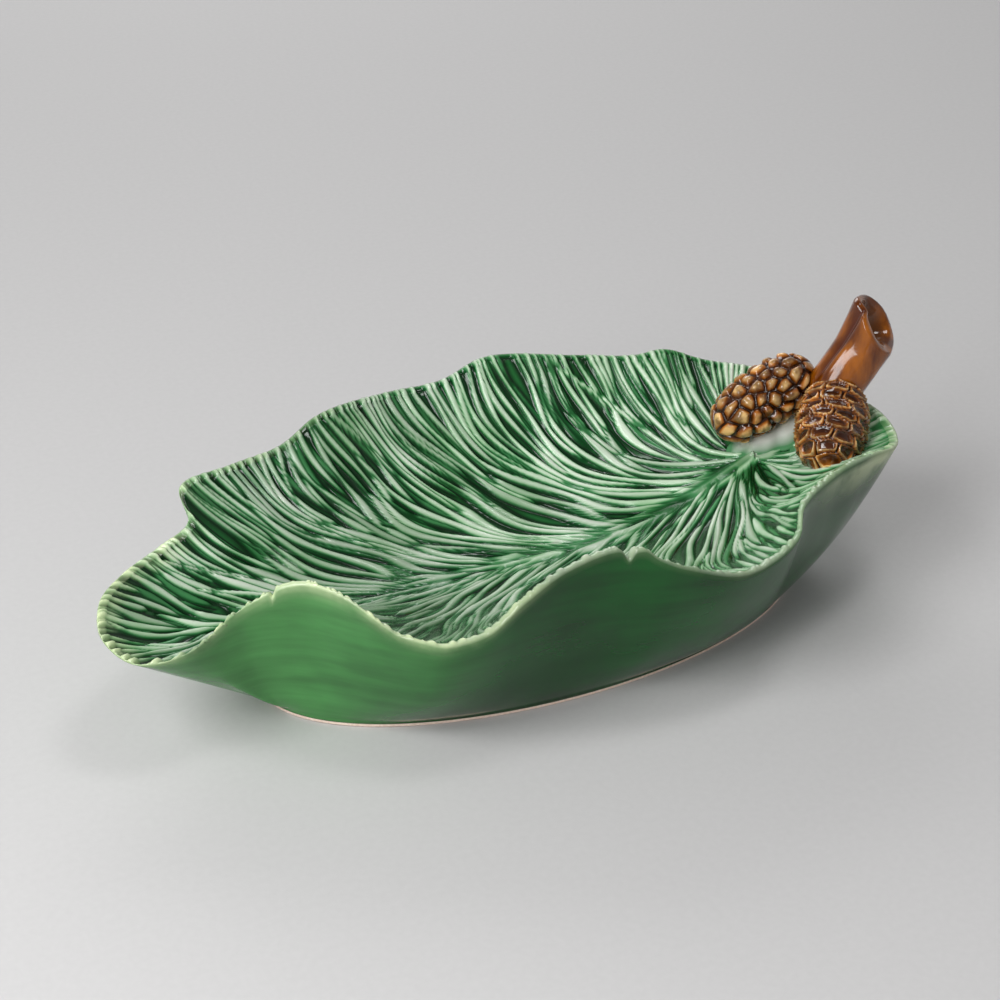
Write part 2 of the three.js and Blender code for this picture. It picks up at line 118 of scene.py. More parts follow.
# Ends of the needles, with a reach of 1 at the lip
START_JITTER = (-0.14, 0.06)
ENDS_AT_LIP = (0.98, 1.12)
ENDS_PAST_LIP = (1.1, 1.3)
TIP_FAN_SHARE = 0.075  # share of the rim before the tip from which they pass the lip
NEEDLE_TAPER = 0.016  # length of a pointed end
BROKEN_NEEDLES = 0.45  # share that breaks into two
BREAK_REACH = (0.35, 0.8)
BREAK_ROOM = 0.2
BREAK_OVERLAP = 0.1
LOST_NEEDLES = 0.03  # share that leaves a flat

# How far needles lie and lean aside, over the distance between lines
PLACE_JITTER = 0.14
NEEDLE_LEAN = 0.25
BREAK_LEAN = (-0.5, 0.5)

# How needles wander, alone and with their neighbours. Turns are radians over a metre
NEEDLE_SWAY = 0.0008
SWAY_TURNS = (45, 100)
WAVE_START = (0, 6.3)
NEEDLE_FLOW = 0.0026
FLOW_TURNS = 48
FLOW_AROUND = 9  # times round the rim
FULL_FLOW = 0.5  # width of all lines together from which it is full

# Section of the needles
NEEDLE_DEPTH = 0.0022  # from a needle's back to the ground
DEEP_NEEDLE = 0.0037  # width from which a needle has its full depth
NEEDLE_LAYERS = (0.5, 1)  # heights in the lower and the upper layer, and how these vary
NEEDLE_TOPS = (0.85, 1)
NEEDLE_FILL = (0.86, 1.08)  # width over the distance between lines
NEEDLE_SWELL = 0.16  # how much that comes and goes along a needle
SWELL_TURNS = (90, 220)
NEEDLE_ROUND = 0.85  # 0.5 gives a half-round back, more gives softer flanks
CREASE = 0.35  # rise over the next needle at which its crease ends
CREASE_DEPTH = 0.6  # share of the rise that a crease takes away
OPEN_GROUND = 0.003  # from a needle to where the ground is lightest

# Long needles along the midrib, which spread toward the tip
MIDRIB_NEEDLES = 34
MIDRIB_START = (0.09, 0.3)
MIDRIB_LENGTH = (0.05, 0.11)
MIDRIB_PAST = 0.012  # how far they pass the root of the fan at the stem
MIDRIB_ASIDE = (0, 0.0035)
MIDRIB_SPREAD = (0, 0.01)
SPREAD_POWER = 1.6
MIDRIB_HALF_WIDTH = (0.0014, 0.0021)
FAN_ROOT = (0.004, 0.01)  # from the root of that fan to where it starts and ends to sink
ROOT_HEIGHT = 0.8

# Needles at the lip. Shares of the length are counted from the tip
LIP_NEEDLES = (0.3, 1)  # share of their depth there on the near and the far side
LIP_FADE = 0.35  # share of the way over the lip from which they fade
STEM_LIP = (0.86, 0.96)  # shares of the length where they gain all of it
STEM_SHALLOW = 0.45  # share of it that they lose inside the stem end
TIP_LIP = (0.12, 0.22)  # and where they lose it behind the tip

# Pale glaze on the lip, on the needles inside it at the tip, and on the wall under it, with painted
# highlight and painted reflection
# The lip is partly worn glaze and partly painted highlight, most on the crown of the near side
NEAR_SIDE = (-0.02, 0.04)  # places across where one side turns into the other
FAR_PALE = 0.3
LIP_SIDES = 0.4  # paleness of its two sides, over that of its top, whose painted highlight is brightest
GREEN_GROOVES = 0.8  # share of the paleness that grooves in it lose
PALE_LIP = (0.3, 0.48)  # shares of the length where it turns greener and loses most of its painted highlight
GREENER_LIP = 0.72
# Painted reflection on the lip and wall at the stem end
STEM_LIP_PAINTED_REFLECTION = 0.5
TIP_PALE = 0.55
TIP_PALE_REACH = 0.84
WALL_PALE = ((0.9, 0.16), (0.2, 0.06))  # heights from which the wall turns pale, and how pale: thin glaze and painted highlight toward the lip
STEM_WALL = (0.76, 0.94)  # shares of the length where a painted reflection turns it paler
STEM_WALL_PAINTED_REFLECTION = (0.72, 0.55)

# What the glaze reads, as on the wall: height on a needle, open ground, tint, paleness, 1 for the wall
PLAIN_GLAZE = {"relief": 1, "flat": 0, "tint": 0.5, "edge": 0, "outer": 1}

# Where the rim sags below its outline: share of the rim, width, depth. Inside and wall follow
RIM_SAGS = ((0.35, 0.024, 0.0046), (0.3045, 0.028, 0.0036))
SAG_REACH = 0.55
SAG_STEP = 0.5

# Nicks in the lip and a knob beside one of them: share of the rim, width, depth
LIP_NICKS = ((0.2345, 0.0046, 0.005), (0.2262, 0.007, -0.0018), (0.408, 0.0026, 0.0036))
NICK_REACH = 0.93
NICK_STEP = 0.9

# Mesh of the dish
COLUMNS = 1920
WALL_STEP = 4  # columns of the inside for each of the wall
INSIDE_ROWS = 38
SMOOTH_ROWS = 40
LIP_ROWS = 6
WALL_ROWS = 26
RIM_STEPS = 80  # steps between two points of the outline
MIDRIB_GAP = 0.014  # share of each line left to the seam along the midrib
NEEDLE_WINDOW = COLUMNS // 16  # columns on each side that a needle may cover

# Cones: the ends of each axis, back from the stem end, across from the midrib and over the inside.
# A bluntness of 2 gives an ellipse
REAR_CONE = {
    "base": (0.019, 0.0085, 0.014), "tip": (0.07, 0.012, 0.0145), "radius": 0.0158,
    "rows": 8, "around": 12, "squash": 1, "jitter": 0.36, "depth": 0.0034, "bluntness": 3.0,
}
FRONT_CONE = {
    "base": (0.013, -0.006, 0.014), "tip": (0.043, -0.042, -0.003), "radius": 0.0178,
    "rows": 10, "around": 9, "squash": 2.2, "jitter": 0.2, "depth": 0.003, "bluntness": 2.3,
}
CONE_ALONG = 150
CONE_AROUND = 192
CONE_REACH = 0.496  # half of the axis that has loops
CONE_ENDS = 1.6
LEAST_SCALES = 4
TALLEST_SCALE = 1.1
SCALE_TINT = 0.75  # share that is its own, the rest follows the cone
PEBBLE_FLANK = 0.0031
PEBBLE_ROUND = 2.2
PEBBLE_TILT = 0.1
SHINGLE_EDGE = 0.0009
SHINGLE_HEIGHT = 0.9
SHINGLE_DISH = (0.0008, 0.0024)
SHINGLE_DEPTH = 0.55
SHINGLE_TILT = 0.5
SET_IN = 0.0015  # how far cones and branch sink below the backs of the needles

# Branch: its path from the stem end of the rim, the radius at each point, and the cut
BRANCH_PATH = [
    (-0.022, 0.018, -0.021), (-0.021, 0.018, -0.007), (-0.016, 0.0155, 0.008),
    (-0.0038, 0.014, 0.024), (0.0056, 0.0122, 0.0405), (0.0108, 0.0106, 0.058),
]
BRANCH_RADII = (0.011, 0.0125, 0.013, 0.0128, 0.0144, 0.0152)
PATH_STEPS = 400
PATH_SOFT = 22  # steps over which its bends are evened out
PATH_SOFT_REACH = 60
BRANCH_CUT_AT = (0.005, 0.012, 0.0385)
BRANCH_CUT_FACING = (0.54, -0.58, 0.6)
PAST_CUT = 2  # share of the path that no cut reaches
BRANCH_BEVEL = 0.0026  # rounding of the edge of the cut
BRANCH_CROWN = 0.42  # how far the high side of the cut is rounded down
BRANCH_HOLLOW = 0.0068
HOLLOW_LOOPS = 16
HOLLOW_INSET = (0.03, 0.95)  # where its loops start, and how far they go
HOLLOW_FLANK = (0.08, 0.62)
BARK_WAVES = ((0.025, 3, 9), (0.012, 7, -5))  # height, times round and radians along
FLUTE_TURN = 3.12  # where a flute runs up its side
FLUTE_WIDTH = 0.2
FLUTE_DEPTH = 0.14
FLUTE_POOL = 0.9  # dark glaze in it
BRANCH_ALONG = 96
BRANCH_AROUND = 128
BRANCH_CROWD = 1.3  # more than 1 sets its loops closer toward the cut
DRAW_IN = 0.03

# Beds of slip: the middle from the tip and across, half the length and width, the turn, the height
REAR_SLIP = {"centre": (0.35, 0.0178), "reach": (0.025, 0.0135), "turn": 3.09, "height": 0.0055}
FRONT_SLIP = {"centre": (0.361, -0.015), "reach": (0.024, 0.019), "turn": 4.03, "height": 0.004}
BRANCH_SLIP = {"centre": (0.366, 0.005), "reach": (0.014, 0.014), "turn": 0, "height": 0.006}
SLIP_RINGS = 20
SLIP_AROUND = 96
SLIP_WAVES = ((0.05, 3, 1), (0.05, 7, 2), (0.03, 13, 0))  # height, times round and start
SLIP_FLANK = (0.45, 1.02)  # shares of the way out where a bed falls to its edge
SLIP_SUNK = 0.0012  # how far its edge lies below the backs of the needles
SLIP_THICKNESS = 0.0014
SLIP_CLEAR = 1.04  # how far past its edge the dish has to reach
SLIP_SHRINK = 0.97
BED_REACH = 0.004  # how far the needles under it are evened out
BED_POINTS = 6

# Camera, fitted to the photograph
CAMERA_TARGET = Vector((0.0123, 0.0471, 0.0427))
CAMERA_BACK = Vector((-0.3932, -0.7716, 0.5))
CAMERA_DISTANCE = 1.1376
CAMERA_LENS = 86.4

# Lamps: name, place, width, height, watts
LAMPS = (
    ("key", (-1, -0.15, 1.1), 0.55, 0.55, 8.5),
    ("side", (-0.95, -0.6, 0.75), 0.42, 0.9, 9),
    ("top", (0.3, -0.1, 1.5), 0.36, 0.36, 3.2),
    ("back", (0.4, 1.7, 1), 1.5, 0.8, 12),
)
HORIZON_LIGHT = 0.6
SKY_LIGHT = 0.16
SKY_FROM = 0.8  # height from which it has that light
FLOOR_RADIUS = 4
FLOOR_SIDES = 96


def smoothstep(low, high, value):
    share = np.clip((value - low) / (high - low), 0, 1)
    return share * share * (3 - 2 * share)


def soft_clamp(value, low, high):
    """A value held between two ends with soft corners."""
    middle = (low + high) / 2
    half = (high - low) / 2
    share = (value - middle) / half
    return middle + half * share / (1 + share ** 4) ** 0.25


def unit(vectors):
    return vectors / norm(vectors, axis=-1)[..., None]


def points_between(at, places, points):
    """Points at places on a line, from those at known places."""
    return np.stack([np.interp(at, places, points[:, axis]) for axis in range(3)], -1)


def closed_curve(points, steps):
    """Closed centripetal curve through points."""
    before, after, beyond = (np.roll(points, steps_on, axis=0) for steps_on in (1, -1, -2))
    gap = [np.sum((b - a) ** 2, axis=1)[:, None] ** 0.25
           for a, b in ((before, points), (points, after), (after, beyond))]
    leave = ((points - before) / gap[0] - (after - before) / (gap[0] + gap[1])) * gap[1]
    leave += after - points
    arrive = ((beyond - after) / gap[2] - (beyond - points) / (gap[1] + gap[2])) * gap[1]
    arrive += after - points
    t = np.linspace(0, 1, steps, endpoint=False)[None, :, None]
    p, q, m, n = (a[:, None, :] for a in (points, after, leave, arrive))
    curve = p + m * t + (3 * (q - p) - 2 * m - n) * t ** 2 + (2 * (p - q) + m + n) * t ** 3
    return curve.reshape(-1, 3)


rim_points = np.array(RIM_OUTLINE) * (RIM_LENGTH, RIM_HALF_WIDTH, CREST_HEIGHT)
rim_curve = closed_curve(rim_points, RIM_STEPS)
rim_curve = np.vstack([rim_curve, rim_curve[:1]])
rim_run = np.concatenate([[0], np.cumsum(norm(np.diff(rim_curve, axis=0), axis=1))])
tip_share = rim_run[np.argmin(rim_curve[:, 0])] / rim_run[-1]

# From the rim's own frame, with its origin at the tip, to the frame of the part
part_shift = np.array(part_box("dish")[0]) - rim_curve.min(axis=0)
part_shift[2] = 0


def rim_at(share):
    """Points of the rim at shares of its run, from the stem end."""
    return points_between(np.mod(share, 1) * rim_run[-1], rim_run, rim_curve)


def midrib_height(x):
    past = np.maximum(0, np.abs(x - FOOT_MIDDLE) - FLOOR_FLAT)
    to_stem = x > FOOT_MIDDLE
    end = np.where(to_stem, RIM_LENGTH - STEM_FAN - FOOT_MIDDLE, FOOT_MIDDLE - TIP_FAN)
    rise = np.where(to_stem, STEM_RISE, TIP_RISE)
    return FLOOR_HEIGHT + rise * (past / (end - FLOOR_FLAT)) ** 2


def sweep_at(share):
    """How far toward the stem a needle to a share of the rim has its root."""
    side = np.where(share < tip_share, share / tip_share, (1 - share) / (1 - tip_share))
    grown = smoothstep(0, SWEEP_FROM_STEM, side)
    return NEEDLE_SWEEP * grown * (1 - smoothstep(SWEEP_TO_TIP, 1, side))


def bowl_at(share, reach):
    """Points on needle lines, with a reach of 0 at the midrib and 1 at the lip."""
    share, reach = np.broadcast_arrays(share, reach)
    top = rim_at(share)
    straight = soft_clamp(top[..., 0], TIP_FAN, RIM_LENGTH - STEM_FAN)
    swept = soft_clamp(top[..., 0] + sweep_at(share), TIP_FAN, RIM_LENGTH - STEM_FAN)
    left = 1 - reach
    bend = SWEEP_LEAN * left + (1 - SWEEP_LEAN) * left ** SWEEP_POWER
    root = straight + (swept - straight) * bend
    out = np.stack([top[..., 0] - straight, top[..., 1] - MIDRIB_OFFSET], -1)
    length = norm(out, axis=-1)
    out *= ((length - RIM_THICKNESS) * reach / length)[..., None]
    low = midrib_height(root)
    high = top[..., 2] - LIP_RADIUS
    height = low + (high - low) * reach ** BOWL_POWER
    return np.stack([root + out[..., 0], MIDRIB_OFFSET + out[..., 1], height], -1)


def foot_at(share, inset, height, part=1):
    """Where the wall sections meet the ellipse of the foot, drawn in by an inset."""
    top = rim_at(share)
    root = soft_clamp(top[:, 0], FOOT_MIDDLE - FOOT_FOCUS, FOOT_MIDDLE + FOOT_FOCUS)
    out = unit(np.stack([top[:, 0] - root, top[:, 1]], -1))
    half_long = FOOT_LENGTH / 2 - inset
    half_wide = FOOT_WIDTH / 2 - inset
    start = (root - FOOT_MIDDLE) / half_long
    a = (out[:, 0] / half_long) ** 2 + (out[:, 1] / half_wide) ** 2
    b = start * out[:, 0] / half_long
    reach = part * (np.sqrt(b * b - a * (start ** 2 - 1)) - b) / a
    return np.stack([root + out[:, 0] * reach, out[:, 1] * reach, np.full_like(root, height)], -1)


def wall_at(share, step):
    """Points of the outer wall, with a step from 0 at the foot to 1 at the lip."""
    foot = foot_at(share, 0, FOOT_RING_HEIGHT)
    top = rim_at(share)
    top[:, 2] -= LIP_RADIUS
    overhang = norm((top - foot)[:, :2], axis=1)
    belly = 1 - smoothstep(FOOT_WIDTH / 4, FOOT_WIDTH / 2, overhang)
    low = foot + (top - foot) * (1 / 3 + np.outer(belly, LOWER_BELLY))
    high = foot + (top - foot) * (2 / 3 + np.outer(belly, UPPER_BELLY))
    left = 1 - step
    return (left ** 3 * foot + 3 * left ** 2 * step * low
            + 3 * left * step ** 2 * high + step ** 3 * top)


def shares_of(count):
    return np.arange(count) / count


# Meshes
def add_object(name, data):
    made = bpy.data.objects.new(name, data)
    bpy.context.scene.collection.objects.link(made)
    return made


def make_piece(name, points, faces):
    """Smooth piece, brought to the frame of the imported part."""
    mesh = bpy.data.meshes.new(name)
    mesh.from_pydata((points + part_shift).tolist(), [], faces)
    mesh.shade_smooth()
    mesh.update()
    return add_object(name, mesh)


def zip_faces(loop, first):
    """Faces that close a loop, zipped across it from its first point."""
    faces = []
    left = 0
    right = len(loop) - 1
    while right - left > 1:
        over = np.sum((loop[left + 1] - loop[right]) ** 2)
        under = np.sum((loop[right - 1] - loop[left]) ** 2)
        forward = over < under
        between = left + 1 if forward else right - 1
        faces.append((first + left, first + between, first + right))
        left, right = (between, right) if forward else (left, between)
    return faces


def band_faces(near, far, first):
    """Faces between two loops. The near one may have four times as many points."""
    faces = []
    second = first + near
    if near == far:
        for i in range(near):
            j = (i + 1) % near
            faces.append((first + i, first + j, second + j, second + i))
        return faces
    for i in range(far):
        j = (i + 1) % far
        fine = [first + (4 * i + k) % near for k in range(5)]
        faces.append((fine[0], fine[1], fine[2], second + i))
        faces.append((fine[2], second + j, second + i))
        faces.append((fine[2], fine[3], fine[4], second + j))
    return faces


def loft(name, loops, values):
    """Closed mesh through loops, with named values at each of their points."""
    faces = [face[::-1] for face in zip_faces(loops[0], 0)]
    first = 0
    for near, far in zip(loops, loops[1:]):
        faces += band_faces(len(near), len(far), first)
        first += len(near)
    faces += zip_faces(loops[-1], first)
    piece = make_piece(name, np.concatenate(loops), faces)
    for key, rows in values.items():
        layer = piece.data.attributes.new(key, "FLOAT", "POINT")
        layer.data.foreach_set("value", np.concatenate(rows).astype(np.float32))
    return piece


class Shell:
    """Loops of a piece, with the values that its glaze reads."""

    def __init__(self, plain):
        self.plain = plain
        self.loops = []
        self.values = {key: [] for key in plain}

    def add(self, loop, **given):
        """Adds a loop, with the values in which it isn't plain."""
        self.loops.append(loop)
        for key, value in (self.plain | given).items():
            self.values[key].append(np.broadcast_to(value, len(loop)))


def grid_normals(points):
    """Upward normals of a grid that closes along its first axis."""
    along = np.roll(points, -1, axis=0) - np.roll(points, 1, axis=0)
    out = np.gradient(points, axis=1)
    normal = unit(np.cross(along, out))
    return normal * np.sign(normal[..., 2:3])


# Places on the inside
def make_inside_tree():
    """Smooth copy of the inside, to set things on."""
    count = COLUMNS // WALL_STEP
    points = bowl_at(shares_of(count)[None, :], np.linspace(0, 1, SMOOTH_ROWS)[:, None])
    faces = []
    for row in range(SMOOTH_ROWS - 1):
        faces += band_faces(count, count, row * count)
    return BVHTree.FromPolygons(points.reshape(-1, 3).tolist(), faces)


inside_tree = make_inside_tree()


def inside_height(x, y):
    """Height of the needles' backs over a point of the table, 0 beside the dish."""
    hit = inside_tree.ray_cast(Vector((x, y, 2 * CREST_HEIGHT)), Vector((0, 0, -1)))[0]
    return hit.z if hit else 0.0


def lip_height(point):
    away = norm(rim_curve[:, :2] - point[:2], axis=1)
    return rim_curve[np.argmin(away), 2]


def over_dish(place):
    """Point over the inside of the dish, from the stem end and the midrib."""
    back, across, height = place
    x = RIM_LENGTH - back
    y = MIDRIB_OFFSET + across
    return Vector((x, y, inside_height(x, y) + height))


# Needles
def draw(ends):
    return rng.uniform(*ends)


def plan_needles(spread, reach):
    """Place on the rim, first and last reach and lean of each needle. It starts where it has room, and
    may break into two that overlap."""
    needles = []
    for level in range(NEEDLE_LEVELS):
        count = FIRST_NEEDLES * 2 ** level
        between = min(level, 1)
        for number in range(between, count, between + 1):
            centre = (number + rng.uniform(-PLACE_JITTER, PLACE_JITTER)) / count
            room = spread[int(centre * COLUMNS) % COLUMNS] / count
            free = np.nonzero(room >= NEEDLE_ROOM)[0]
            if len(free) == 0 or rng.random() < LOST_NEEDLES:
                continue
            start = reach[free[0]] + draw(START_JITTER)
            over_lip = np.mod(centre, 1) > tip_share - TIP_FAN_SHARE
            end = draw(ENDS_PAST_LIP if over_lip else ENDS_AT_LIP)
            split = draw(BREAK_REACH)
            lean = rng.normal(0, NEEDLE_LEAN) / count
            if rng.random() < BROKEN_NEEDLES and start < split - BREAK_ROOM:
                lean += rng.choice(BREAK_LEAN) / count
                needles.append((centre, start, split + BREAK_OVERLAP, lean))
                needles.append((centre, split - BREAK_OVERLAP, end, lean))
            else:
                needles.append((centre, start, end, lean))
    return needles


def room_beside(spread):
    """Distance between the needle lines at each point, evened out along them."""
    finest = np.log2(np.maximum(spread / NEEDLE_ROOM / FIRST_NEEDLES, 1))
    count = FIRST_NEEDLES * 2 ** np.minimum(np.floor(finest), NEEDLE_LEVELS - 1)
    padded = np.pad(spread / count, ((0, 0), (2, 2)), mode="edge")
    return sum(padded[:, k:k + spread.shape[1]] for k in range(5)) / 5


class Ground:
    """The inside while needles are laid on it: how high the highest and the next one are, from 0 to 1,
    how far each point lies beside them, and the tint of its needle."""

    def __init__(self, shape):
        self.height = np.zeros(shape)
        self.next_height = np.zeros(shape)
        self.beside = np.ones(shape)
        self.tint = np.full(shape, PLAIN_GLAZE["tint"])

    def lay(self, at, distance, half_width, lack, top=1):
        """Lays a needle on points at a distance from its middle line."""
        half_width = half_width * np.sqrt(1 - lack ** 2) + 1e-6
        rise = np.clip(1 - (distance / half_width) ** 2, 0, 1) ** NEEDLE_ROUND
        rise *= top * draw(NEEDLE_TOPS) * np.minimum(1, 2 * half_width / DEEP_NEEDLE)
        higher = rise > self.height[at]
        lower_one = np.minimum(rise, self.height[at])
        self.next_height[at] = np.maximum(self.next_height[at], lower_one)
        self.height[at] = np.where(higher, rise, self.height[at])
        self.tint[at] = np.where(higher, rng.uniform(0, 1), self.tint[at])
        self.beside[at] = np.minimum(self.beside[at], distance - half_width)

    def relief(self):
        """Height with a crease wherever two needles meet."""
        clear = smoothstep(0, CREASE, self.height - self.next_height)
        return self.height * (1 - CREASE_DEPTH * (1 - clear))


def lack_at_ends(run, begin, finish):
    """How much of its width a needle lacks at its pointed ends."""
    lack = np.maximum(begin + NEEDLE_TAPER - run, run - finish + NEEDLE_TAPER)
    return np.clip(lack / NEEDLE_TAPER, 0, 1)


def common_flow(centre, run):
    """How far a needle wanders along with its neighbours."""
    around = 2 * math.pi * FLOW_AROUND * centre
    slow = np.sin(FLOW_TURNS * run + around)
    quick = np.sin(2 * FLOW_TURNS * run - 2 * around)
    return NEEDLE_FLOW * (slow + 0.5 * quick)


def own_wave(run, turns):
    return np.sin(run * draw(turns) + draw(WAVE_START))


def lay_rim_needles(ground, points, reach):
    """Lays the needles that run to the rim, the lower layer first."""
    across = (np.roll(points, -1, axis=0) - np.roll(points, 1, axis=0)) * COLUMNS / 2
    along = np.gradient(points, reach, axis=1)
    speed = norm(along, axis=-1)
    spread = norm(np.cross(across, along), axis=-1) / speed
    room = room_beside(spread)
    window = np.arange(-NEEDLE_WINDOW, NEEDLE_WINDOW + 1)
    planned = [(*needle, top) for top in NEEDLE_LAYERS for needle in plan_needles(spread, reach)]
    for centre, start, end, lean, top in planned:
        column = int(centre * COLUMNS) % COLUMNS
        run = np.concatenate([[0], np.cumsum(speed[column][:-1] * np.diff(reach))])
        begin = np.interp(start, reach, run)
        finish = np.interp(end, reach, run) + max(0, end - 1) * run[-1]
        rows = np.nonzero((run >= begin) & (run <= finish))[0]
        run = run[rows]
        wide = spread[column, rows]
        sway = NEEDLE_SWAY * own_wave(run, SWAY_TURNS)
        sway += common_flow(centre, run) * np.minimum(1, wide / FULL_FLOW)
        toward = (reach[rows] - start) / (end - start) - 0.5
        middle = centre + sway / wide + lean * toward
        place = np.round(middle * COLUMNS).astype(int)[:, None] + window[None, :]
        at = (np.mod(place, COLUMNS), rows[:, None])
        distance = np.abs(place / COLUMNS - middle[:, None]) * spread[at]
        swell = 1 + NEEDLE_SWELL * own_wave(run, SWELL_TURNS)
        half_width = draw(NEEDLE_FILL) * swell * room[column, rows] / 2
        lack = lack_at_ends(run, begin, finish)
        ground.lay(at, distance, half_width[:, None], lack[:, None], top)


def lay_midrib_needles(ground, points):
    for number in range(MIDRIB_NEEDLES):
        side = 1 if number % 2 else -1
        begin = draw(MIDRIB_START)
        finish = min(begin + draw(MIDRIB_LENGTH), RIM_LENGTH - STEM_FAN + MIDRIB_PAST)
        at = np.nonzero((points[..., 0] > begin) & (points[..., 0] < finish))
        x, y, _ = points[at].T
        left = (finish - x) / (finish - begin)
        aside = draw(MIDRIB_ASIDE) + draw(MIDRIB_SPREAD) * left ** SPREAD_POWER
        distance = np.abs(y - MIDRIB_OFFSET - side * aside)
        ground.lay(at, distance, draw(MIDRIB_HALF_WIDTH), lack_at_ends(x, begin, finish))


def gather_needles(ground, points):
    """Relief and open ground, shallow at the stem and smooth at the root of its fan."""
    from_root = points[..., :2] - (RIM_LENGTH - STEM_FAN, MIDRIB_OFFSET)
    gathered = 1 - smoothstep(*FAN_ROOT, norm(from_root, axis=-1))
    relief = np.maximum(ground.relief(), ROOT_HEIGHT * gathered)
    at_stem = smoothstep(*STEM_LIP, points[..., 0] / RIM_LENGTH)
    relief = 1 - (1 - relief) * (1 - STEM_SHALLOW * at_stem)
    flat = smoothstep(0, OPEN_GROUND, ground.beside) * (1 - gathered)
    return relief, flat


# Dish
def highest_share(count, holds, halvings):
    """Highest share from 0 to 1 for which something holds at each place."""
    low = np.zeros(count)
    high = np.ones(count)
    for _ in range(halvings):
        middle = (low + high) / 2
        held = holds(middle)
        low = np.where(held, middle, low)
        high = np.where(held, high, middle)
    return low


def hollow_loops(count):
    """Loops of the hollow under the dish, up the wall and over the roof."""
    share = shares_of(count)
    middle = foot_at(share, 0, 0, HOLLOW_MIDDLE)
    inward = foot_at(share, WALL_THICKNESS, 0) - foot_at(share, 0, 0)

    def roof(points):
        heights = [inside_height(x, y) - FLOOR_THICKNESS for x, y, _ in points]
        return np.column_stack([points[:, :2], heights])

    def under_roof(step):
        side = wall_at(share, step[:, None]) + inward
        return side[:, 2] < roof(side)[:, 2]

    top = highest_share(count, under_roof, halvings=10)[:, None]
    loops = [foot_at(share, FOOT_RING_WIDTH, FOOT_RING_HEIGHT)]
    for part in HOLLOW_SIDE:
        loops.append(wall_at(share, part * top) + inward)
    edge = loops[-1]
    for part in HOLLOW_ROOF:
        loops.append(roof(middle + (edge - middle) * part))
    return loops


def lowered_by(places, share):
    """How far the rim is pressed down at shares of its run."""
    depth = np.zeros_like(share)
    for place, width, deep in places:
        depth += deep * np.exp(-(2 * (share - place) * rim_run[-1] / width) ** 2)
    return depth


class Rim:
    """What changes round the rim: dents, needles that run over it, and pale glaze with painted
    highlight and painted reflection.
    """

    def __init__(self, share):
        self.top = rim_at(share)
        along = self.top[:, 0] / RIM_LENGTH
        across = self.top[:, 1]
        near_side = 1 - smoothstep(*NEAR_SIDE, across)
        self.nicks = lowered_by(LIP_NICKS, share)
        self.sags = lowered_by(RIM_SAGS, share)
        self.tip_end = 1 - smoothstep(*TIP_LIP, along)
        self.stem_end = smoothstep(*STEM_LIP, along)
        # Where painted reflection lightens the wall at the stem end
        self.stem_wall_reflection = smoothstep(*STEM_WALL, along)
        by_side = np.interp(across, (-RIM_HALF_WIDTH / 3, RIM_HALF_WIDTH / 3), LIP_NEEDLES)
        self.needles = np.maximum(by_side, np.maximum(self.stem_end, self.tip_end))
        self.late_wall = np.maximum(self.stem_end, 1 - near_side)
        pale = np.maximum(FAR_PALE + (1 - FAR_PALE) * near_side, self.tip_end)
        self.pale = pale * (1 - GREENER_LIP * smoothstep(*PALE_LIP, along))


def add_inside(shell, rim, points, normals, reach):
    """Presses the needles in, and returns their relief."""
    ground = Ground(points.shape[:2])
    lay_rim_needles(ground, points, reach)
    lay_midrib_needles(ground, points)
    relief, flat = gather_needles(ground, points)
    pressed = points - normals * (NEEDLE_DEPTH * (1 - relief))[..., None]
    pressed[..., 2] -= rim.nicks[:, None] * smoothstep(NICK_REACH, 1, reach)
    pressed[..., 2] -= rim.sags[:, None] * smoothstep(SAG_REACH, 1, reach)
    pale = TIP_PALE * rim.tip_end[:, None] * smoothstep(TIP_PALE_REACH, 1, reach) * relief
    for row in range(INSIDE_ROWS):
        shell.add(pressed[:, row], relief=relief[:, row], edge=pale[:, row], outer=0,
                  flat=flat[:, row], tint=ground.tint[:, row])
    return relief


def add_lip(shell, rim, inner, normals, relief):
    """Rolls the lip over to the wall, the needles fading on it."""
    for row in range(1, LIP_ROWS + 1):
        turned = row / LIP_ROWS
        turn = math.pi * turned
        rise = math.sin(turn)
        groove = rim.needles * (1 - relief) * (1 - smoothstep(LIP_FADE, 1, turned))
        crown = inner + (rim.top - inner) * (1 - math.cos(turn)) / 2
        crown[:, 2] = rim.top[:, 2] - LIP_RADIUS + LIP_RADIUS * rise - rim.nicks - rim.sags
        crown -= normals * (NEEDLE_DEPTH * groove)[:, None]
        crown[:, 2] -= NEEDLE_DEPTH * groove * rise
        # Paleness of the lip: worn glaze and painted highlight, brightest on the crown
        pale = (LIP_SIDES + (1 - LIP_SIDES) * rise) * rim.pale * (1 - GREEN_GROOVES * groove)
        # Painted reflection on the lip at the stem end
        pale = np.maximum(pale, STEM_LIP_PAINTED_REFLECTION * rim.stem_end * (1 - groove))
        outer = turned - rim.late_wall * (turned - turned ** 3)
        shell.add(crown, relief=1 - groove, edge=pale, outer=outer)


def add_wall(shell, rim, share):
    for row in range(1, WALL_ROWS + 1):
        step = 1 - row / WALL_ROWS
        loop = wall_at(share, step)
        loop[:, 2] -= rim.nicks * smoothstep(NICK_STEP, 1, step)
        loop[:, 2] -= rim.sags * smoothstep(SAG_STEP, 1, step)
        # Thin glaze and painted highlight make the wall paler toward the lip
        pale = rim.pale * sum(most * smoothstep(low, 1, step) for low, most in WALL_PALE)
        # Painted reflection on the wall at the stem end
        low, most = STEM_WALL_PAINTED_REFLECTION
        pale += most * rim.stem_wall_reflection * smoothstep(low, 1, step)
        shell.add(loop, edge=pale)


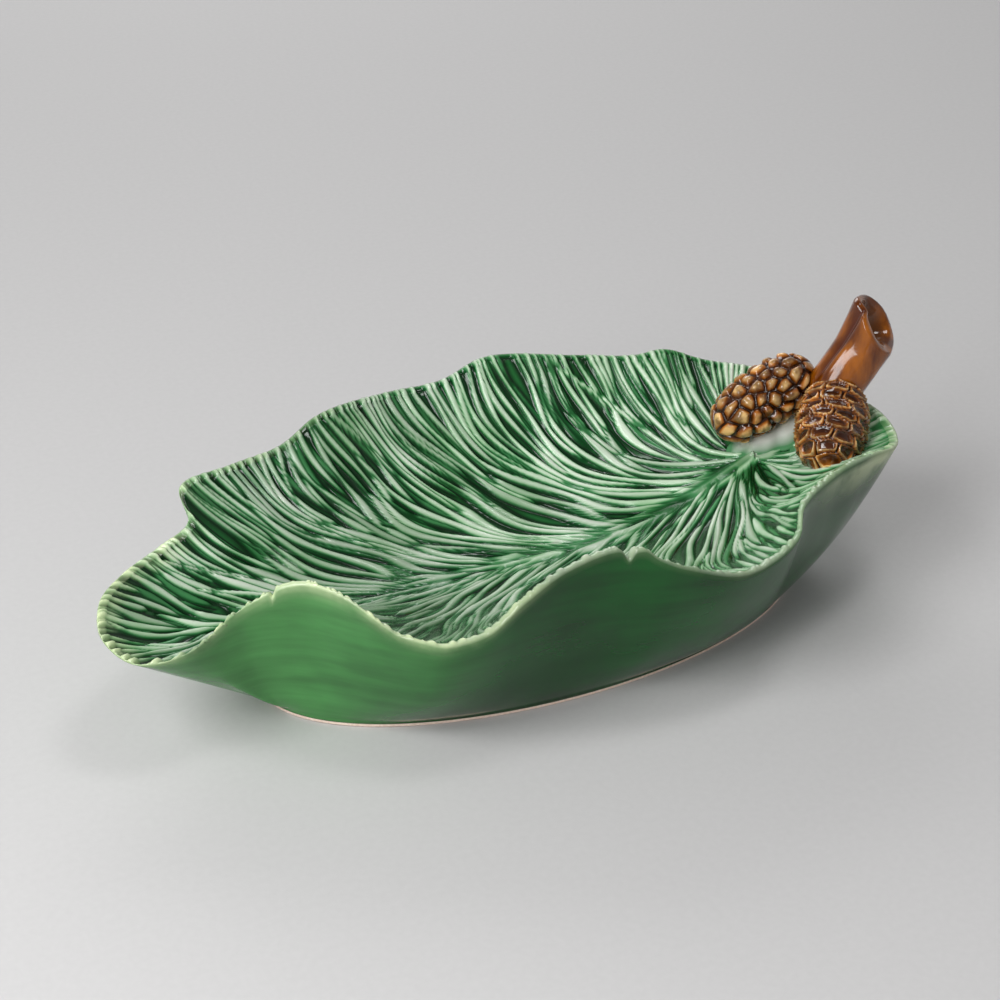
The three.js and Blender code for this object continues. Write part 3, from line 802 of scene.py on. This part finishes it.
def make_dish():
    """Glazed dish, from the midrib out and down to the hollow under it."""
    share = shares_of(COLUMNS)
    coarse = share[::WALL_STEP]
    reach = np.linspace(MIDRIB_GAP, 1, INSIDE_ROWS)
    points = bowl_at(share[:, None], reach[None, :])
    normals = grid_normals(points)
    rim = Rim(share)
    shell = Shell(PLAIN_GLAZE)
    relief = add_inside(shell, rim, points, normals, reach)
    add_lip(shell, rim, points[:, -1], normals[:, -1], relief[:, -1])
    add_wall(shell, Rim(coarse), coarse)
    shell.add(foot_at(coarse, 0, GLAZE_LINE))
    shell.add(foot_at(coarse, GLAZE_LAP[0], GLAZE_LINE))
    shell.add(foot_at(coarse, GLAZE_LAP[1], FOOT_RING_HEIGHT))
    for loop in hollow_loops(len(coarse) // WALL_STEP):
        shell.add(loop)
    return loft("dish_glazed", shell.loops, shell.values)


def make_foot_ring():
    """Bare clay ring with worn edges."""
    count = COLUMNS // WALL_STEP
    loops = [foot_at(shares_of(count), inset, height) for inset, height in FOOT_RING_PROFILE]
    points = np.concatenate(loops)
    faces = [tuple(np.mod(face, len(points)).tolist()) for first in range(0, len(points), count)
             for face in band_faces(count, count, first)]
    return make_piece("foot_ring_clay", points, faces)


def set_on_dish(points):
    """Lifts points to just below the backs of the needles."""
    for point in points:
        point[2] = max(point[2], inside_height(point[0], point[1]) - SET_IN)


# Cones
def cone_swell(cone, along):
    """Width of a cone along its axis, from 0 at the ends to 1 in the middle."""
    return (1 - np.abs(2 * along - 1) ** cone["bluntness"]) ** 0.5


def cone_scales(cone, along, angle, length):
    """Scales in staggered rows: how far inside its scale each point lies, how far toward the free end,
    and the scale's tint."""
    shape = np.broadcast(along, angle).shape
    nearest = np.ones(shape)
    second = np.ones(shape)
    toward = np.zeros(shape)
    tint = np.zeros(shape)
    pitch = length / cone["rows"]
    jitter = cone["jitter"]
    for row in range(cone["rows"]):
        middle = (row + 0.5) / cone["rows"]
        count = max(LEAST_SCALES, round(cone["around"] * cone_swell(cone, middle)))
        for number in range(count):
            centre = 2 * math.pi * (number + row / 2 + rng.uniform(-jitter, jitter)) / count
            turn = np.mod(angle - centre + math.pi, 2 * math.pi) - math.pi
            aside = turn * cone["radius"] * cone_swell(cone, along)
            ahead = (along - middle) * length + pitch * rng.uniform(-jitter, jitter)
            distance = np.hypot(aside, ahead * cone["squash"])
            closer = distance < nearest
            second = np.where(closer, nearest, np.minimum(second, distance))
            nearest = np.where(closer, distance, nearest)
            toward = np.where(closer, ahead / pitch, toward)
            tint = np.where(closer, rng.uniform(0, 1), tint)
    return (second - nearest) / 2, toward, tint


def pebbles(inside, toward):
    """Round scales, a little higher toward the free end."""
    up = np.clip(inside / PEBBLE_FLANK, 0, 1)
    return 1 - (1 - up) ** PEBBLE_ROUND + PEBBLE_TILT * toward


def shingles(inside, toward):
    """Flat scales with raised edges, higher toward the free end."""
    edge = smoothstep(0, SHINGLE_EDGE, inside)
    dish = smoothstep(*SHINGLE_DISH, inside)
    return edge * (SHINGLE_HEIGHT - SHINGLE_DEPTH * dish + SHINGLE_TILT * toward)


def make_cone(name, cone, form):
    """Egg-shaped cone with pressed scales, set into the slip."""
    base = over_dish(cone["base"])
    axis = over_dish(cone["tip"]) - base
    turn = np.array(Vector((0, 0, 1)).rotation_difference(axis).to_matrix())
    step = np.linspace(0, 1, CONE_ALONG)[:, None]
    along = 0.5 - CONE_REACH * np.cos(np.pi * step)
    angle = 2 * np.pi * shares_of(CONE_AROUND)[None, :]
    swell = cone_swell(cone, along)
    inside, toward, tint = cone_scales(cone, along, angle, axis.length)
    relief = np.clip(form(inside, toward), 0, TALLEST_SCALE)
    depth = cone["depth"] * np.minimum(1, CONE_ENDS * swell)
    radius = cone["radius"] * swell - depth * (1 - relief)
    flat = np.stack([radius * np.cos(angle), radius * np.sin(angle), 0 * radius], -1)
    points = flat @ turn.T + np.array(base) + along[..., None] * np.array(axis)
    set_on_dish(points.reshape(-1, 3))
    tint = SCALE_TINT * tint + (1 - SCALE_TINT) * along
    return loft(name, list(points), {"relief": list(relief), "tint": list(tint)})


# Branch
def soft_path(path):
    """Fine line through the points of a path, with its bends evened out."""
    knots = np.linspace(0, 1, len(path))
    line = points_between(np.linspace(0, 1, PATH_STEPS), knots, path)
    weight = np.exp(-0.5 * (np.arange(-PATH_SOFT_REACH, PATH_SOFT_REACH + 1) / PATH_SOFT) ** 2)
    weight /= weight.sum()
    ends = ((PATH_SOFT_REACH, PATH_SOFT_REACH), (0, 0))
    padded = np.pad(line, ends, mode="reflect", reflect_type="odd")
    return np.stack([np.convolve(padded[:, axis], weight, "valid") for axis in range(3)], -1)


class BranchSide:
    """Side of the branch: bark with a flute up it."""

    def __init__(self, path):
        self.fine = np.linspace(0, 1, PATH_STEPS)
        self.line = soft_path(path)
        tangent = unit(np.gradient(self.line, axis=0))
        self.across = unit(np.cross([0, 1, 0], tangent))
        self.up = np.cross(tangent, self.across)
        self.length = np.sum(norm(np.diff(self.line, axis=0), axis=1))
        self.radius = np.interp(self.fine, np.linspace(0, 1, len(path)), BRANCH_RADII)
        self.angle = 2 * np.pi * shares_of(BRANCH_AROUND)
        self.flute = np.exp(-((self.angle - FLUTE_TURN) / FLUTE_WIDTH) ** 2)

    def at(self, share, end):
        """Points round the branch at shares of its length, rounded off to an end."""
        bark = np.ones(BRANCH_AROUND)
        for high, around, along in BARK_WAVES:
            bark += high * np.sin(around * self.angle + along * share)
        width = np.interp(share, self.fine, self.radius) * (bark - FLUTE_DEPTH * self.flute)
        near_cut = np.clip(1 - (end - share) * self.length / BRANCH_BEVEL, 0, 1)
        bevel = BRANCH_BEVEL * (1 - np.sqrt(1 - near_cut ** 2))
        out = points_between(share, self.fine, self.across) * np.cos(self.angle)[:, None]
        out += points_between(share, self.fine, self.up) * np.sin(self.angle)[:, None]
        return points_between(share, self.fine, self.line) + out * (width - bevel)[:, None]

    def cut_off(self, cut_at, facing):
        """Where the side meets the cut, with the high edge of the cut rounded down."""
        def under_cut(share):
            return (self.at(share, PAST_CUT) - cut_at) @ facing < 0

        cut = highest_share(BRANCH_AROUND, under_cut, halvings=24)
        middle = (cut.max() + cut.min()) / 2
        half = (cut.max() - cut.min()) / 2
        return cut - half * BRANCH_CROWN * np.maximum((cut - middle) / half, 0) ** 2


def draw_in(loop):
    """Draws points outside the rim in toward the middle of their loop."""
    middle = loop.mean(axis=0)
    for point in loop:
        while point[2] < lip_height(point) and inside_height(point[0], point[1]) == 0:
            point += DRAW_IN * (middle - point)


def make_branch():
    """Cut branch, wider toward the cut and hollow in it."""
    stem_end = rim_at(np.zeros(1))[0]
    side = BranchSide(np.array(BRANCH_PATH) + stem_end)
    facing = unit(np.array(BRANCH_CUT_FACING))
    end = side.cut_off(np.array(BRANCH_CUT_AT) + stem_end, facing)
    shell = Shell({"cut": 0, "pool": 0})
    for row in range(BRANCH_ALONG):
        share = end * (1 - (1 - row / BRANCH_ALONG) ** BRANCH_CROWD)
        shell.add(side.at(share, end), pool=FLUTE_POOL * side.flute)
    rim = side.at(end, end)
    centre = rim.mean(axis=0)
    for row in range(HOLLOW_LOOPS):
        inset = HOLLOW_INSET[0] + HOLLOW_INSET[1] * row / HOLLOW_LOOPS
        deep = smoothstep(*HOLLOW_FLANK, inset)
        shell.add(rim + (centre - rim) * inset - facing * BRANCH_HOLLOW * deep, cut=deep)
    for loop in shell.loops[:BRANCH_ALONG // 2]:
        draw_in(loop)
        set_on_dish(loop)
    return loft("cut_branch", shell.loops, shell.values)


# Slip
def bed_height(x, y):
    """Height of the inside, evened out over a few points round it."""
    near = [inside_height(x + BED_REACH * math.cos(k), y + BED_REACH * math.sin(k))
            for k in range(BED_POINTS)]
    over = [height for height in near if height > 0]
    return sum(over) / len(over)


def slip_edge(slip):
    """Wavy edge of a bed, drawn in where it would pass the rim."""
    angle = 2 * np.pi * shares_of(SLIP_AROUND)
    wave = np.ones(SLIP_AROUND)
    for high, around, start in SLIP_WAVES:
        wave += high * np.sin(around * angle + start)
    along = slip["reach"][0] * wave * np.cos(angle)
    aside = slip["reach"][1] * wave * np.sin(angle)
    cos = math.cos(slip["turn"])
    sin = math.sin(slip["turn"])
    edge = np.stack([along * cos - aside * sin, along * sin + aside * cos], -1)
    for step in edge:
        while inside_height(*(slip["centre"] + step * SLIP_CLEAR)) == 0:
            step *= SLIP_SHRINK
    return edge


def make_slip(name, slip):
    """Bed of slip round a cone or the branch, thin at its edge."""
    edge = slip_edge(slip)
    loops = []
    fade = []
    for ring in range(SLIP_RINGS):
        share = (SLIP_RINGS - ring) / SLIP_RINGS
        flat = np.array(slip["centre"]) + edge * share
        lift = slip["height"] * (1 - smoothstep(*SLIP_FLANK, share)) - SLIP_SUNK
        level = [bed_height(x, y) + lift for x, y in flat]
        loops.append(np.column_stack([flat, level]))
        fade.append(np.full(SLIP_AROUND, share))
    under = [loop - [0, 0, SLIP_THICKNESS] for loop in loops]
    return loft(name, under[::-1] + loops, {"fade": fade[::-1] + fade})


# Materials
def colour(*levels):
    """A colour written as it looks on a screen, from 0 to 255."""
    level = np.array(levels) / 255
    linear = np.where(level <= 0.04045, level / 12.92, ((level + 0.055) / 1.055) ** 2.4)
    return (*linear.tolist(), 1)


def grey(level):
    return (level, level, level, 1)


def add_node(tree, kind, inputs, **settings):
    """Outputs of a new node. Its inputs are sockets to link or plain values."""
    made = tree.nodes.new("ShaderNode" + kind)
    for key, value in settings.items():
        setattr(made, key, value)
    for key, value in inputs.items():
        if isinstance(value, bpy.types.NodeSocket):
            tree.links.new(value, made.inputs[key])
        else:
            made.inputs[key].default_value = value
    return made.outputs


def read(tree, name):
    """A value that the mesh carries at each of its points."""
    return add_node(tree, "Attribute", {}, attribute_name=name)["Fac"]


def ramp(tree, factor, stops):
    colours = add_node(tree, "ValToRGB", {"Fac": factor})["Color"]
    elements = colours.node.color_ramp.elements
    while len(elements) < len(stops):
        elements.new(0.5)
    for element, (place, shade) in zip(elements, stops):
        element.position = place
        element.color = shade
    return colours


def greys(tree, factor, *stops):
    return ramp(tree, factor, [(place, grey(level)) for place, level in stops])


def mix(tree, factor, first, second, blend="MIX"):
    inputs = {0: factor, 6: first, 7: second}
    return add_node(tree, "Mix", inputs, data_type="RGBA", blend_type=blend)[2]


def multiply(tree, first, second):
    return mix(tree, 1.0, first, second, "MULTIPLY")


def noise(tree, scale, detail=3, stretch=(1, 1, 1)):
    """Noise with features about 1/scale metres across."""
    place = add_node(tree, "TexCoord", {})["Object"]
    mapped = add_node(tree, "Mapping", {"Vector": place, "Scale": stretch})["Vector"]
    inputs = {"Vector": mapped, "Scale": scale, "Detail": detail}
    return add_node(tree, "TexNoise", inputs)["Fac"]


def place_along(tree):
    """From 0 near the tip of the bough to 1 near its stem."""
    place = add_node(tree, "TexCoord", {})["Object"]
    x = add_node(tree, "SeparateXYZ", {0: place})["X"]
    inputs = {"Value": x, "From Min": -RIM_LENGTH / 3, "From Max": RIM_LENGTH / 3}
    return add_node(tree, "MapRange", inputs)["Result"]


def needles_inside(tree, along):
    """Glaze of the inside, pale on the needles' backs and dark in the grooves: thin and pooled glaze,
    with painted highlight on the backs, painted shade in the grooves and painted shade toward the tip.
    """
    # Colour by relief: pooled glaze and painted shade in the grooves, thin glaze and painted highlight
    # on the needles' backs
    pressed = ramp(tree, read(tree, "relief"), (
        (0, colour(2, 38, 12)), (0.26, colour(12, 80, 34)), (0.5, colour(78, 150, 94)),
        (0.74, colour(190, 218, 186)), (1, colour(236, 244, 230)),
    ))
    # Open ground is lighter than narrow grooves, which carry more painted shade
    pressed = mix(tree, read(tree, "flat"), pressed, colour(40, 112, 58))
    patch = greys(tree, noise(tree, 28), (0.35, 0), (0.7, 1))
    clouded = mix(tree, patch, pressed, multiply(tree, pressed, colour(186, 214, 186)))
    own = greys(tree, read(tree, "tint"), (0, 0.74), (0.6, 1))
    # Painted shade: darkens the inside over the part toward the tip, leaving the tip fan light
    painted_shade_along = greys(tree, along, (0, 0.95), (0.12, 0.72), (0.3, 0.74), (0.48, 0.96), (0.6, 1))
    return multiply(tree, multiply(tree, clouded, own), painted_shade_along)


def outer_wall(tree, along):
    """Glaze of the outer wall, brushed on in clouds, with painted light making it lighter toward the
    tip and painted shade making it darker toward the stem.
    """
    # Painted light and shade: lighter at the tip end, darker toward the stem end
    wall = ramp(tree, along, (
        (0, colour(80, 150, 80)), (0.32, colour(10, 80, 26)), (1, colour(6, 88, 28)),
    ))
    brushed = greys(tree, noise(tree, 60, 5, (0.3, 0.3, 2.6)), (0.3, 0.66), (0.7, 1))
    cloud = greys(tree, noise(tree, 20), (0.32, 0.6), (0.62, 1))
    return multiply(tree, multiply(tree, wall, brushed), cloud)


def green_glaze(tree):
    """Green glaze of the dish, worn pale on its lip, with painted highlight there and painted
    reflection at the stem end.
    """
    along = place_along(tree)
    body = mix(tree, read(tree, "outer"), needles_inside(tree, along), outer_wall(tree, along))
    # Paleness: worn glaze and painted highlight on the lip, painted highlight on the upper wall,
    # painted reflection at the stem end
    thin = greys(tree, read(tree, "edge"), (0.05, 0), (0.9, 1))
    worn = greys(tree, noise(tree, 60, 4), (0.34, 0.3), (0.6, 1))
    return mix(tree, multiply(tree, thin, worn), body, colour(220, 234, 184))


def brown_glaze(tree):
    """Brown glaze of the cones, black in the grooves and amber where thin, with a painted cream
    highlight on the highest scales.
    """
    # The top stop is partly a painted highlight
    pressed = ramp(tree, read(tree, "relief"), (
        (0, colour(8, 2, 0)), (0.36, colour(66, 26, 0)), (0.66, colour(194, 112, 30)),
        (1, colour(250, 204, 134)),
    ))
    own = greys(tree, read(tree, "tint"), (0.1, 0.58), (0.9, 1))
    pooled = greys(tree, noise(tree, 190, 4), (0.4, 0), (0.62, 0.78))
    return mix(tree, pooled, multiply(tree, pressed, own), colour(74, 34, 6))


def amber_glaze(tree):
    """Amber glaze of the branch, streaked along it and dark in its flute."""
    streak = greys(tree, noise(tree, 120, 4, (1, 1, 0.25)), (0.35, 0), (0.68, 1))
    bark = mix(tree, streak, colour(90, 40, 0), colour(168, 94, 12))
    bark = mix(tree, read(tree, "pool"), bark, colour(74, 24, 0))
    cut = greys(tree, read(tree, "cut"), (0, 0), (0.3, 0.2), (1, 1))
    return mix(tree, cut, bark, colour(112, 62, 10))


def pale_glaze(tree):
    """Milky glaze over the slip, green toward its edge."""
    fade = greys(tree, read(tree, "fade"), (0.64, 0), (0.9, 1))
    milky = mix(tree, fade, colour(242, 245, 236), colour(84, 146, 96))
    return multiply(tree, milky, greys(tree, noise(tree, 90), (0.35, 0.86), (0.7, 1)))


def bare_clay(tree):
    grit = greys(tree, noise(tree, 900, 4), (0.3, 0), (0.7, 1))
    return mix(tree, grit, colour(222, 196, 180), colour(240, 220, 206))


def grey_paper(tree):
    fibre = greys(tree, noise(tree, 300, 4), (0.3, 0.97), (0.7, 1))
    return multiply(tree, colour(204, 203, 203), fibre)


# Shader values of each material, and the scale, detail, depth and strength of its unevenness
FINISHES = {
    green_glaze: {"Roughness": 0.13, "Specular IOR Level": 0.42, "grain": (140, 2, 0.0004, 0.16)},
    brown_glaze: {"Roughness": 0.18, "Specular IOR Level": 0.2, "Coat Weight": 0.9,
                  "Coat Roughness": 0.06, "grain": (420, 3, 0.0005, 0.6)},
    amber_glaze: {"Roughness": 0.14, "Specular IOR Level": 0.2, "Coat Weight": 0.8,
                  "Coat Roughness": 0.08, "grain": (200, 3, 0.0004, 0.3)},
    pale_glaze: {"Roughness": 0.16, "grain": (180, 2, 0.0004, 0.3)},
    bare_clay: {"Roughness": 0.85, "grain": (1400, 3, 0.0002, 0.6)},
    grey_paper: {"Roughness": 0.9, "Specular IOR Level": 0.2},
}


def make_material(body):
    """Material with the colour that a function mixes, and its finish."""
    material = bpy.data.materials.new(body.__name__)
    material.use_nodes = True
    tree = material.node_tree
    shader = tree.nodes["Principled BSDF"]
    tree.links.new(body(tree), shader.inputs["Base Color"])
    for key, value in FINISHES[body].items():
        if key == "grain":
            scale, detail, distance, strength = value
            inputs = {"Height": noise(tree, scale, detail), "Distance": distance, "Strength": strength}
            tree.links.new(add_node(tree, "Bump", inputs)["Normal"], shader.inputs["Normal"])
        else:
            shader.inputs[key].default_value = value
    return material


# Stage
def make_floor():
    mesh = bpy.data.meshes.new("floor")
    angle = 2 * np.pi * shares_of(FLOOR_SIDES)
    points = FLOOR_RADIUS * np.stack([np.cos(angle), np.sin(angle), 0 * angle], -1)
    mesh.from_pydata(points.tolist(), [], [tuple(range(FLOOR_SIDES))])
    mesh.materials.append(make_material(grey_paper))
    add_object("floor", mesh)


def make_light(name, place, width, height, power):
    lamp = bpy.data.lights.new(name, "AREA")
    lamp.shape = "RECTANGLE"
    lamp.size = width
    lamp.size_y = height
    lamp.energy = power
    light = add_object(name, lamp)
    light.location = place
    toward = CAMERA_TARGET - Vector(place)
    light.rotation_euler = toward.to_track_quat("-Z", "Y").to_euler()


def make_world():
    """Grey light, pale at the horizon and darker above."""
    world = bpy.data.worlds.new("studio")
    world.use_nodes = True
    tree = world.node_tree
    background = tree.nodes["Background"]
    background.inputs["Color"].default_value = grey(1)
    place = add_node(tree, "TexCoord", {})["Generated"]
    height = add_node(tree, "SeparateXYZ", {0: place})["Z"]
    inputs = {"Value": height, "From Max": SKY_FROM, "To Min": HORIZON_LIGHT, "To Max": SKY_LIGHT}
    level = add_node(tree, "MapRange", inputs)["Result"]
    tree.links.new(level, background.inputs["Strength"])
    bpy.context.scene.world = world


def make_camera():
    data = bpy.data.cameras.new("camera")
    data.lens = CAMERA_LENS
    camera = add_object("camera", data)
    camera.location = CAMERA_TARGET + CAMERA_BACK.normalized() * CAMERA_DISTANCE
    camera.rotation_euler = CAMERA_BACK.to_track_quat("Z", "Y").to_euler()
    bpy.context.scene.camera = camera


def dress(piece, material, slot, *nodes):
    """Gives a piece its glaze and lets it stand for its solids."""
    piece.data.materials.append(material)
    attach(piece, "root")
    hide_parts(*nodes)


make_camera()
make_floor()
make_world()
for lamp in LAMPS:
    make_light(*lamp)
bpy.context.scene.view_settings.view_transform = "Standard"

brown = make_material(brown_glaze)
pale = make_material(pale_glaze)
dress(make_dish(), make_material(green_glaze), "green_glaze", "dish")
dress(make_foot_ring(), make_material(bare_clay), "bare_clay", "foot_ring")
dress(make_cone("rear_cone", REAR_CONE, pebbles), brown, "brown_glaze", "pine_cone_rear")
dress(make_cone("front_cone", FRONT_CONE, shingles), brown, "brown_glaze", "pine_cone_front")
dress(make_branch(), make_material(amber_glaze), "amber_glaze", "branch_stub")
dress(make_slip("rear_slip", REAR_SLIP), pale, "pale_glaze", "cone_slip_rear")
dress(make_slip("front_slip", FRONT_SLIP), pale, "pale_glaze", "cone_slip_front")
dress(make_slip("branch_slip_bed", BRANCH_SLIP), pale, "pale_glaze", "branch_slip")
